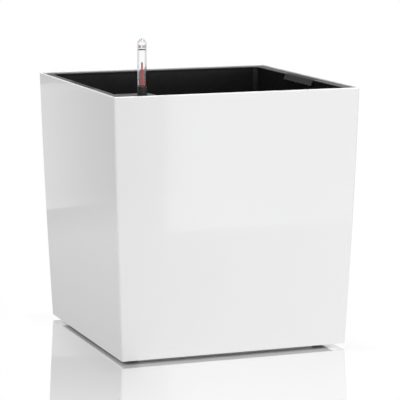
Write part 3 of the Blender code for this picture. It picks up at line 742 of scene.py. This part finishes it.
def basket_centres():
    """Places of the four baskets, front row first."""
    return [(x, y) for y in (-BASKET_PLACE, BASKET_PLACE) for x in (-BASKET_PLACE, BASKET_PLACE)]


def separator():
    """False floor with rows of slots and a round seat for each soak basket."""
    low, high = SEPARATOR_LOW, SEPARATOR_HIGH
    edge = 0.0005
    half = high.x - edge
    sides = arc(half, low.z + edge, edge, -90, 0, 2) + arc(half, high.z - edge, edge, 0, 90, 2)
    pocket_radius = 0.004
    corner = (POCKET_OUTER[0] + OVERLAP, POCKET_OUTER[1] + OVERLAP)
    pocket = upright((-RIM_HALF, -RIM_HALF), corner, pocket_radius, low.z - REACH, high.z + REACH)
    seats = [rod(BASKET_RADIUS + RUNNING_GAP, low.z - REACH, high.z + REACH, centre)
             for centre in basket_centres()]
    slots = []
    for row in range(-12, 13):
        y = row * SLOT_PITCH[1]
        for column in range(-6, 7):
            x = column * SLOT_PITCH[0]
            if is_clear_of_seats(x, y):
                slots.append(block(
                    (x - SLOT_HALF_LENGTH, y - SLOT_WIDTH / 2, low.z - REACH),
                    (x + SLOT_HALF_LENGTH, y + SLOT_WIDTH / 2, high.z + REACH)))
    mesh = cut(loft(squares(sides, LINER_CORNER)), pocket, together(seats), together(slots))
    piece("separator_moulding", mesh, "black_moulding", "liner", "separator_plate")


def is_clear_of_seats(x, y):
    """True where a slot leaves room for the basket rims, the edge and the corner pocket."""
    if abs(x) > SLOT_AREA[0] or abs(y) > SLOT_AREA[1]:
        return False
    if x < POCKET_X + POCKET_MARGIN[0] and y < POCKET_Y + POCKET_MARGIN[1]:
        return False
    for centre_x, centre_y in basket_centres():
        near_x = max(abs(x - centre_x) - SLOT_HALF_LENGTH, 0)
        if math.hypot(near_x, y - centre_y) < BASKET_RIM + SEAT_MARGIN:
            return False
    return True


def soak_baskets():
    """Slotted cups that hang from the separator into the water."""
    seat = SEPARATOR_HIGH.z + GAP
    bottom = BASKET_LOW.z
    floor = bottom + BASKET_WALL
    edge = 0.0008
    foot = 0.002
    fillet = 0.001
    near, far = BASKET_SLOT_REACH
    slot_half = 0.0012
    hole_half = (0.0025, 0.0011)
    profile = arc(BASKET_RIM - edge, BASKET_HIGH.z - edge, edge, 90, 0, 3)
    profile += [(BASKET_RIM, seat), (BASKET_RADIUS - GAP, seat)]
    profile += arc(BASKET_FOOT - foot, bottom + foot, foot, 0, -90, 4)
    profile += [(0, bottom), (0, floor)]
    inner = BASKET_FOOT - BASKET_WALL
    profile += arc(inner - fillet, floor + fillet, fillet, -90, 0, 3)
    top = BASKET_RADIUS - GAP - BASKET_WALL
    profile += arc(top + edge, BASKET_HIGH.z - edge, edge, 180, 90, 3)
    slots = []
    for index in range(BASKET_SLOTS):
        turn = Matrix.Rotation(2 * math.pi * (index + 0.5) / BASKET_SLOTS, 4, "Z")
        for low, high in BASKET_SLOT_HEIGHTS:
            slot = block((near, -slot_half, bottom + low), (far, slot_half, bottom + high))
            slots.append(moved(slot, turn))
    for ring, number in BASKET_HOLES:
        for index in range(number):
            turn = Matrix.Rotation(2 * math.pi * index / number, 4, "Z")
            hole = block((ring - hole_half[0], -hole_half[1], bottom - REACH),
                         (ring + hole_half[0], hole_half[1], floor + OVERLAP))
            slots.append(moved(hole, turn))
    mesh = cut(lathe(profile), together(slots))
    for index, (x, y) in enumerate(basket_centres(), 1):
        copy = moved(mesh.copy(), Matrix.Translation((x, y, 0)))
        piece(f"soak_basket_{index}_moulding", copy, "black_moulding", "liner",
              f"soak_basket_{index}")


# ---------- shaft, cover and lid

def supply_shaft():
    """Square pipe down to the reservoir, with bands outside and notches at its foot."""
    low, high = SHAFT_LOW, SHAFT_HIGH
    corner = COVER_CORNER - LINER_WALL
    depth = 0.0003
    height = 0.0012
    grooves = []
    for z in between(low.z + 0.03, high.z - 0.04, 9):
        outer = upright(*grown(low, high, OVERLAP), corner + OVERLAP, z, z + height)
        inner = upright(*grown(low, high, -depth), corner - depth, z - OVERLAP,
                        z + height + OVERLAP)
        grooves.append(cut(outer, inner))
    bore = upright(*grown(low, high, -SHAFT_WALL), corner - SHAFT_WALL, low.z - REACH,
                   high.z + REACH)
    half = 0.002
    notch_top = low.z + 0.009
    notches = [block((x - half, low.y - REACH, low.z - REACH),
                     (x + half, high.y + REACH, notch_top))
               for x in between(low.x + 0.010, high.x - 0.012, 3)]
    mesh = cut(upright(low, high, corner, low.z, high.z), together(grooves), bore,
               together(notches))
    piece("supply_shaft_moulding", mesh, "black_moulding", "liner", "water_supply_shaft")


def cover_skirt():
    """Collar under the cover that locates it in the shaft, with a web beside the lid."""
    edge = SHAFT_WALL + RUNNING_GAP
    low, high = grown(SHAFT_LOW, SHAFT_HIGH, -edge)
    radius = COVER_CORNER - LINER_WALL - edge
    z_low = COVER_LOW.z
    skirt = upright(low, high, radius, z_low, FLANGE_BOTTOM + OVERLAP)
    hollow = upright(*grown(low, high, -SKIRT_WALL), radius - SKIRT_WALL, z_low - REACH,
                     FLANGE_BOTTOM + REACH)
    web_x = LID_HIGH.x + RUNNING_GAP
    web = block((web_x, low[1] + SKIRT_WALL / 2, z_low),
                (web_x + SKIRT_WALL, high[1] - SKIRT_WALL / 2, FLANGE_BOTTOM + OVERLAP))
    return combined(skirt, ("DIFFERENCE", hollow), ("UNION", web))


def rod_along_x(radius, x_low, x_high, steps=MEDIUM, edge=0.0):
    """A rod along X on the lid's hinge axis, its ends cut off aslant if an edge is given."""
    along = rod(radius, x_low, x_high, steps=steps)
    if edge:
        along = lathe([(0, x_high), (radius - edge, x_high), (radius, x_high - edge),
                       (radius, x_low + edge), (radius - edge, x_low), (0, x_low)], steps=steps)
    turn = Matrix.Rotation(math.pi / 2, 4, "Y")
    return moved(along, Matrix.Translation((0, HINGE_Y, HINGE_Z)) @ turn)


def shaft_cover():
    """Corner plate, flush with the flange, that holds the filler lid and the indicator."""
    low, high = COVER_LOW, COVER_HIGH
    edge = 0.0004
    rings = []
    for z, inset in ((FLANGE_BOTTOM, 0.0), (FLANGE_TOP - edge, 0.0),
                     (FLANGE_TOP - 0.3 * edge, 0.3 * edge), (FLANGE_TOP, edge)):
        radii = [max(radius - inset, SHARP) for radius in (OVERLAP, COVER_CORNER, OVERLAP, OVERLAP)]
        rings.append(rectangle(*grown(low, high, -inset), radii, z))
    plate = loft(rings)
    lid_low, lid_high = grown(LID_LOW, LID_HIGH, GAP)
    opening = block((*lid_low, low.z - REACH), (*lid_high, RIM_TOP))
    hole = rod(BUSH_HIGH.x - GAUGE[0] + GAP, low.z - REACH, RIM_TOP, GAUGE)
    pin_hole = rod_along_x(PIN_RADIUS + GAP, PIN_LOW.x - GAP, PIN_HIGH.x + GAP)
    mesh = combined(plate, ("UNION", cover_skirt()), ("DIFFERENCE", opening),
                    ("DIFFERENCE", hole), ("DIFFERENCE", pin_hole))
    piece("corner_cover_moulding", mesh, "black_liner", "liner", "shaft_cover")


def filler_lid():
    """Flip-up lid with a finger scoop at its free edge, on a steel pin."""
    low, high = LID_LOW, LID_HIGH
    slab = block((low.x, low.y, FLANGE_TOP - LID_THICKNESS), (high.x, HINGE_Y, FLANGE_TOP), 0.0004)
    knuckle = rod_along_x(KNUCKLE_RADIUS, low.x, high.x, FINE)
    radius = 0.0055
    depth = 0.0012
    scoop = lathe([(0, 0.004), *arc(0, 0, radius, 60, -60, 12), (0, -0.004)])
    scoop = moved(scoop, Matrix.Translation(
        ((low.x + high.x) / 2, low.y, FLANGE_TOP + radius - depth)))
    bore = rod_along_x(PIN_RADIUS + GAP, low.x - REACH, high.x + REACH)
    mesh = combined(slab, ("UNION", knuckle), ("DIFFERENCE", scoop), ("DIFFERENCE", bore))
    piece("filler_lid_moulding", mesh, "black_liner", "filler_lid", "filler_lid")
    pin = rod_along_x(PIN_RADIUS, PIN_LOW.x, PIN_HIGH.x, MEDIUM, 0.0002)
    piece("hinge_pin", pin, "hinge_steel", "liner", "lid_pin")


# ---------- indicator

def indicator():
    """Black guide tube in a rubber bush, slotted end cap, clear sight tube and its marks."""
    top = TUBE_HIGH.z
    bottom = TUBE_LOW.z
    outer = TUBE_RADIUS
    edge = 0.0007
    groove = 0.0003
    profile = arc(outer - edge, top - edge, edge, 90, 0)
    for z in (top - 0.0032, top - 0.0046):
        profile += [(outer, z), (outer - groove, z - 0.0002), (outer - groove, z - 0.0005),
                    (outer, z - 0.0007)]
    profile += [(outer, bottom + groove), (outer - groove, bottom), (TUBE_BORE, bottom),
                (TUBE_BORE, top - 0.0004), (TUBE_BORE + 0.0004, top)]
    narrow = 0.0011
    wide = 0.012
    height = 0.0035
    inlets = []
    for rise, half_x, half_y in ((0.010, narrow, wide), (0.010, wide, narrow),
                                 (0.022, narrow, wide), (0.034, narrow, wide),
                                 (0.034, wide, narrow)):
        z = bottom + rise
        inlets.append(block((GAUGE[0] - half_x, GAUGE[1] - half_y, z),
                            (GAUGE[0] + half_x, GAUGE[1] + half_y, z + height)))
    tube = cut(lathe(profile, GAUGE), *inlets)
    piece("guide_tube_moulding", tube, "black_tube", "indicator", "guide_tube")
    end_cap()
    bush()
    sight_tube()
    sight_marks()


def end_cap():
    """Plug at the foot of the guide tube, with a water inlet and a crossed slot below."""
    spigot = TUBE_BORE - GAP
    seat = TUBE_LOW.z - GAP
    inlet = 0.003
    chamfer = 0.0004
    edge = 0.0012
    half = 0.0008
    depth = 0.002
    profile = [(spigot - chamfer, CAP_HIGH.z), (spigot, CAP_HIGH.z - chamfer), (spigot, seat),
               (TUBE_RADIUS, seat)]
    profile += arc(TUBE_RADIUS - edge, CAP_LOW.z + edge, edge, 0, -90)
    profile += [(inlet, CAP_LOW.z), (inlet, CAP_HIGH.z)]
    slots = [block((GAUGE[0] - half_x, GAUGE[1] - half_y, CAP_LOW.z - REACH),
                   (GAUGE[0] + half_x, GAUGE[1] + half_y, CAP_LOW.z + depth))
             for half_x, half_y in ((REACH, half), (half, REACH))]
    piece("end_cap_moulding", cut(lathe(profile, GAUGE), *slots), "black_moulding", "indicator",
          "guide_tube_end_cap")


def bush():
    """Rubber collar in the corner cover that the guide tube slides in."""
    outer = BUSH_HIGH.x - GAUGE[0]
    inner = TUBE_RADIUS + GAP
    high = BUSH_HIGH.z
    low = BUSH_LOW.z
    edge = 0.0004
    inset = 0.0002
    profile = arc(outer - edge, high - edge, edge, 90, 0, 4)
    profile += [(outer, FLANGE_TOP + 0.0001), (outer - inset, FLANGE_TOP), (outer - inset, low),
                (inner, low)]
    profile += arc(inner + inset, high - inset, inset, 180, 90, 3)
    piece("bush_moulding", lathe(profile, GAUGE), "black_rubber", "liner", "indicator_bush")


def sight_tube():
    """Clear domed tube with a small moulding nub on top and a spigot that plugs into the socket."""
    inner = SIGHT_RADIUS - SIGHT_WALL
    nub = 0.0010
    nub_height = 0.0004
    chamfer = 0.0003
    spigot = TUBE_BORE - GAP
    spigot_inner = spigot - 0.001
    centre_z = SIGHT_HIGH.z - nub_height - SIGHT_RADIUS
    outside = [(0, SIGHT_HIGH.z), (nub - chamfer, SIGHT_HIGH.z), (nub, SIGHT_HIGH.z - chamfer)]
    start = math.degrees(math.acos(nub / SIGHT_RADIUS))
    outside += arc(0, centre_z, SIGHT_RADIUS, start, 0, 14)
    outside += [(SIGHT_RADIUS, SIGHT_BASE + chamfer), (SIGHT_RADIUS - chamfer, SIGHT_BASE),
                (spigot, SIGHT_BASE), (spigot, SIGHT_LOW.z + chamfer),
                (spigot - chamfer, SIGHT_LOW.z)]
    inside = [(spigot_inner, SIGHT_LOW.z), (spigot_inner, SIGHT_BASE + 0.001),
              (inner, SIGHT_BASE + 0.002)]
    inside += arc(0, centre_z, inner, 0, 90, 14)
    piece("sight_tube_moulding", lathe(outside + inside, GAUGE, FINER), "clear_sight_tube",
          "indicator", "sight_tube")


def sleeve(z_low, z_high, start=0.0, end=360.0):
    """A thin red band just inside the sight tube, or part of one between angles in degrees."""
    outer = SIGHT_RADIUS - SIGHT_WALL - 0.00005
    inner = outer - 0.00015
    if end - start >= 360:
        return lathe([(outer, z_high), (outer, z_low), (inner, z_low), (inner, z_high)], GAUGE,
                     FINER)
    rings = []
    for angle in between(math.radians(start), math.radians(end), 12):
        spoke = (math.cos(angle), math.sin(angle))
        section = ((inner, z_low), (outer, z_low), (outer, z_high), (inner, z_high))
        rings.append([(GAUGE[0] + r * spoke[0], GAUGE[1] + r * spoke[1], z) for r, z in section])
    return loft(rings)


def sight_marks():
    """Low and high water marks: a red band, a thin red line and dashes above it."""
    piece("low_mark", sleeve(*MIN_MARK), "red_marker", "indicator")
    piece("high_mark", sleeve(*MAX_LINE), "red_marker", "indicator")
    dashes = together([sleeve(*MAX_TICKS, start, start + width) for start, width in DASHES])
    piece("high_mark_dashes", dashes, "red_marker", "indicator")


def float_parts():
    """Float, stem, red marker and pointer tip, one above the other in the guide tube."""
    for name, node, slot, edge in (("float_moulding", "float_body", "white_float", 0.0012),
                                   ("stem_rod", "float_stem", "black_moulding", 0.0004),
                                   ("marker_rod", "level_marker", "red_marker", 0.0006),
                                   ("marker_point", "marker_tip", "red_marker", 0.0009)):
        low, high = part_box(node)
        radius = (high.x - low.x) / 2
        profile = [(0, high.z), *arc(radius - edge, high.z - edge, edge, 90, 0),
                   *arc(radius - edge, low.z + edge, edge, 0, -90), (0, low.z)]
        piece(name, lathe(profile, GAUGE, 48), slot, "float", node)


# ---------- handles

def grip_section():
    """A flat top bar with a finger lip that slopes into the soil space, as (x, z) points."""
    outer = GRIP_HIGH.x
    top = GRIP_HIGH.z
    inner = FLANGE_INNER + GAP
    bar = top - GRIP_THICKNESS
    lip = top - GRIP_LIP_DEPTH
    tip = inner - GRIP_LIP_SLOPE
    return [(outer, bar), (outer, top), (inner, top), (tip, lip), (tip + GRIP_LIP_THICKNESS, lip),
            (inner + GRIP_LIP_THICKNESS, bar)]


def handle(side, side_name):
    """A grip on two grooved legs, with a stop clip on each leg. The left one has side -1."""
    outline = grip_section()
    if side < 0:
        outline = [(-x, z) for x, z in reversed(outline)]
    half = GRIP_HIGH.y
    grip = eased(loft([[(x, y, z) for x, z in outline] for y in (half, -half)]), 0.0005, 3)
    near = side * LEG_INNER
    far = side * (LEG_INNER + LEG_THICKNESS)
    groove = side * (LEG_INNER + LEG_THICKNESS - GROOVE_DEPTH)
    away = side * (LEG_INNER + LEG_THICKNESS + OVERLAP)
    groove_half = 0.004
    legs = []
    grooves = []
    for end in (-1, 1):
        middle = end * LEG_SPACING / 2
        legs.append(block((near, middle - LEG_WIDTH / 2, GRIP_LOW.z),
                          (far, middle + LEG_WIDTH / 2, FLANGE_TOP - OVERLAP), 0.0004, 2))
        grooves.append(block((groove, middle - groove_half, GRIP_LOW.z + 0.012),
                             (away, middle + groove_half, FLANGE_TOP - 0.016), SHARP, 2))
    mesh = combined(grip, ("UNION", together(legs)), ("DIFFERENCE", together(grooves)))
    body = f"handle_{side_name}"
    piece(f"{body}_moulding", mesh, "black_handle", body, body)
    for end_name in ("front", "back"):
        handle_clip(f"handle_clip_{side_name}_{end_name}", body)


def handle_clip(node, body):
    """A collar clipped round the foot of a leg."""
    low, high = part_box(node)
    wall_x = 0.0012 - GAP
    wall_y = 0.0024 - GAP
    hole = block((low.x + wall_x, low.y + wall_y, low.z - REACH),
                 (high.x - wall_x, high.y - wall_y, high.z + REACH))
    mesh = cut(block(low, high, 0.0005), hole)
    piece(f"{node}_moulding", mesh, "black_moulding", body, node)


# ---------- stage

def aimed(obj, target):
    direction = Vector(target) - obj.location
    obj.rotation_euler = direction.to_track_quat("-Z", "Y").to_euler()


def build_camera():
    """A long lens from the front left, a little above the rim."""
    azimuth = math.radians(-20.33)
    elevation = math.radians(9.05)
    distance = 3.39
    target = Vector((0.0106, 0.0025, 0.2107))
    away = Vector((math.sin(azimuth) * math.cos(elevation),
                   -math.cos(azimuth) * math.cos(elevation), math.sin(elevation)))
    data = bpy.data.cameras.new("camera")
    data.sensor_width = 36.0
    data.lens = 193.16
    camera = new_object("camera", data)
    camera.location = target + distance * away
    aimed(camera, target)
    bpy.context.scene.camera = camera


def graded(tree, value, points, interpolation="LINEAR"):
    """Turns a value into another by lines, or eased curves, through (value, result) points."""
    low, high = points[0][0], points[-1][0]
    node = add_node(tree, "ValToRGB", Fac=mapped(tree, value, (low, high)))
    node.color_ramp.interpolation = interpolation
    stops = node.color_ramp.elements
    stops[0].color = (points[0][1],) * 3 + (1,)
    stops[1].color = (points[-1][1],) * 3 + (1,)
    for place, result in points[1:-1]:
        stops.new((place - low) / (high - low)).color = (result,) * 3 + (1,)
    return node.outputs["Color"]


def mixed(tree, factor, first, second):
    node = add_node(tree, "MixShader", Fac=factor)
    tree.links.new(first, node.inputs[1])
    tree.links.new(second, node.inputs[2])
    return node.outputs["Shader"]


def glow(tree, strength):
    return add_node(tree, "Emission", Strength=strength).outputs["Emission"]


def is_seen(tree):
    """1 for rays that show the studio itself, straight or through the clear tube."""
    path = add_node(tree, "LightPath").outputs
    return operation(tree, "MAXIMUM", path["Is Camera Ray"], path["Is Transmission Ray"])


def build_world():
    """White where it is seen; as a light, bright round the horizon and dim overhead."""
    world = bpy.data.worlds.new("studio")
    bpy.context.scene.world = world
    world.use_nodes = True
    tree = world.node_tree
    ambient = tree.nodes["Background"]
    ambient.inputs["Color"].default_value = (1, 1, 1, 1)
    height = axes(tree, "TexCoord", "Generated")["Z"]
    tree.links.new(graded(tree, height, SKY, "EASE"), ambient.inputs["Strength"])
    white = add_node(tree, "Background", Color=(1, 1, 1, 1))
    both = mixed(tree, is_seen(tree), ambient.outputs["Background"], white.outputs["Background"])
    tree.links.new(both, tree.nodes["World Output"].inputs["Surface"])


def surface(name, size, location, turn=0.0):
    """A flat part of the stage, lying or turned up about X, and its empty node tree and output."""
    bm = bmesh.new()
    bmesh.ops.create_grid(bm, x_segments=1, y_segments=1, size=0.5)
    obj = new_object(name, to_mesh(bm, name))
    obj.data.transform(Matrix.Diagonal((*size, 1, 1)))
    obj.location = location
    obj.rotation_euler = (turn, 0, 0)
    material, tree = new_material(name)[:2]
    tree.nodes.clear()
    obj.data.materials.append(material)
    return obj, tree, add_node(tree, "OutputMaterial").inputs["Surface"]


def build_floor():
    """White floor that mirrors the planter, and lights all but its underside from below.

    The mirror fades to plain white away from the planter and where it is seen from above, and
    the white has a faint shade round the planter's foot.
    """
    tree, output = surface("floor", (12.0, 12.0), (0, 0, -0.0001))[1:]
    distance = add_node(tree, "VectorMath")
    distance.operation = "LENGTH"
    tree.links.new(add_node(tree, "TexCoord").outputs["Object"], distance.inputs[0])
    away = distance.outputs["Value"]
    place = axes(tree, "TexCoord", "Object")
    foot = shell_half(SHELL_BOTTOM)
    x, y = [operation(tree, "SUBTRACT", operation(tree, "ABSOLUTE", place[axis]), foot)
            for axis in "XY"]
    glossy = add_node(tree, "BsdfGlossy", Roughness=FLOOR_GLOSS, Color=(1, 1, 1, 1))
    weight = add_node(tree, "LayerWeight", Blend=0.5)
    mirror = operation(tree, "MULTIPLY", graded(tree, away, MIRROR_REACH),
                       graded(tree, weight.outputs["Facing"], LOW_VIEW))
    contact = graded(tree, operation(tree, "MAXIMUM", x, y), FOOT_SHADE, "EASE")
    shown = mixed(tree, mirror, glow(tree, contact), glossy.outputs["BSDF"])
    inside = operation(tree, "MAXIMUM", operation(tree, "MULTIPLY", x, SIDE_STRETCH), y)
    light = operation(tree, "MULTIPLY", graded(tree, inside, UNDER_SHADE),
                      graded(tree, place["X"], LEFT_SHADE))
    lit = operation(tree, "MULTIPLY", graded(tree, away, GLOW_REACH), light)
    tree.links.new(mixed(tree, is_seen(tree), glow(tree, lit), shown), output)


def build_card(name, size, location, *greys):
    """Grey card behind the planter, unseen by the camera, that darkens the gloss of the planter.

    The greys are its brightness at heights from its middle. For rays from farther off, which
    come from the open floor, it is as white as the horizon.
    """
    card, tree, output = surface(name, size, location, math.pi / 2)
    card.visible_camera = False
    card.visible_transmission = False
    grey = graded(tree, axes(tree, "TexCoord", "Object")["Y"], greys)
    path = add_node(tree, "LightPath").outputs
    far_off = graded(tree, path["Ray Length"], FAR_OFF, "EASE")
    tree.links.new(mixed(tree, far_off, glow(tree, grey), glow(tree, HORIZON)), output)


def area_light(name, location, target, size, power, across=None):
    """A soft panel that the camera doesn't see, its strength graded across its width if given."""
    data = bpy.data.lights.new(name, "AREA")
    data.shape = "RECTANGLE"
    data.size, data.size_y = size
    data.energy = power
    light = new_object(name, data)
    light.location = location
    light.visible_camera = False
    aimed(light, target)
    if across:
        data.use_nodes = True
        tree = data.node_tree
        place = axes(tree, "NewGeometry", "Parametric")["X"]
        strength = graded(tree, place, across, "EASE")
        tree.links.new(strength, tree.nodes["Emission"].inputs["Strength"])


def build_stage():
    """The camera, floor and soft light that show the planter as the photograph does."""
    bpy.context.scene.view_settings.view_transform = "Standard"
    build_camera()
    build_world()
    build_floor()
    build_card("card_high", (2.8, 2.4), (0.3, 1.5, 1.8),
               (-1.2, 0.2), (-1.15, 0.9), (-1.10, 0.9), (-1.05, 0.3), (1.2, 0.3))
    build_card("card_left", (1.6, 0.4), (-1.1, 1.49, 0.4), (-0.2, 0.55), (0.2, 0.55))
    area_light("key", (-0.2, -2.6, 1.5), (0, 0, 0.2), (1.6, 1.6), KEY_POWER)
    area_light("top", (0, 0.01, 2.4), (0, 0, 0), (0.5, 0.5), TOP_POWER)
    area_light("front_panel", (0.647, -0.95, 0.42), (0.647, 0, 0.42), (1.0, 0.84), PANEL_POWER,
               ((0.0, 0.0), (0.02, 1.0), (0.4, 0.5), (1.0, 0.25)))
    area_light("side_panel", (-0.50, 1.12, 0.135), (-0.50, 0, 0.135), (0.28, 0.27), SIDE_POWER,
               ((0.0, 1.0), (1.0, 0.0)))


outer_shell()
drain_plug()
liner()
separator()
soak_baskets()
supply_shaft()
shaft_cover()
filler_lid()
indicator()
float_parts()
handle(-1, "left")
handle(1, "right")
build_stage()
